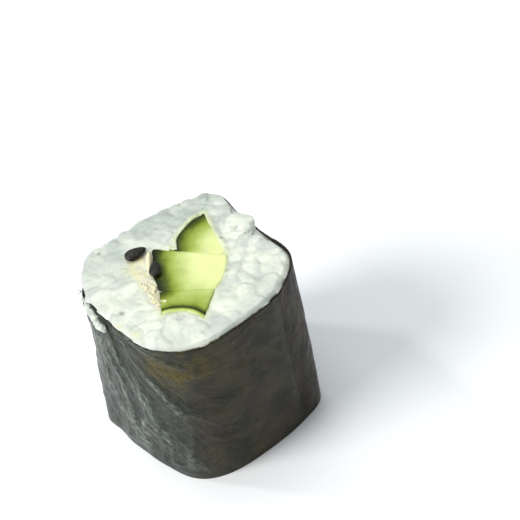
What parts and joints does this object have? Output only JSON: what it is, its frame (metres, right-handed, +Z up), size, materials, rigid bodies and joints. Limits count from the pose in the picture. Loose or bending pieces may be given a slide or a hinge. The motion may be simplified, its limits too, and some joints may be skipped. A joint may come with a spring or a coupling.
{
  "type": "cucumber maki roll",
  "caption": "Short thick slice of rolled sushi standing on end: dark nori wrapped round sticky white rice, with cucumber sticks and sesame seeds in the middle",
  "frame": {"origin": "centre of the foot: bottom centre of the bounding box, on the surface that the roll stands on", "axes": "+Z up the roll from the lower cut face to the upper one; +X and +Y square to its flattened sides, with the lap of the nori on the -X side and the sharpest corner between +X and +Y"},
  "size_m": [0.0306, 0.0304, 0.0311],
  "materials": {
    "nori": "damp satin seaweed sheet, dark olive brown",
    "rice": "moist translucent cooked grains, black and white sesame seeds among them",
    "cucumber": "wet cut flesh, pale yellow green, darker to a deep green skin"
  },
  "bodies": {
    "root": {"nori": "nori", "rice": "rice", "cucumber_wedge": "cucumber", "cucumber_square": "cucumber", "cucumber_strip": "cucumber"}
  },
  "joints": []
}
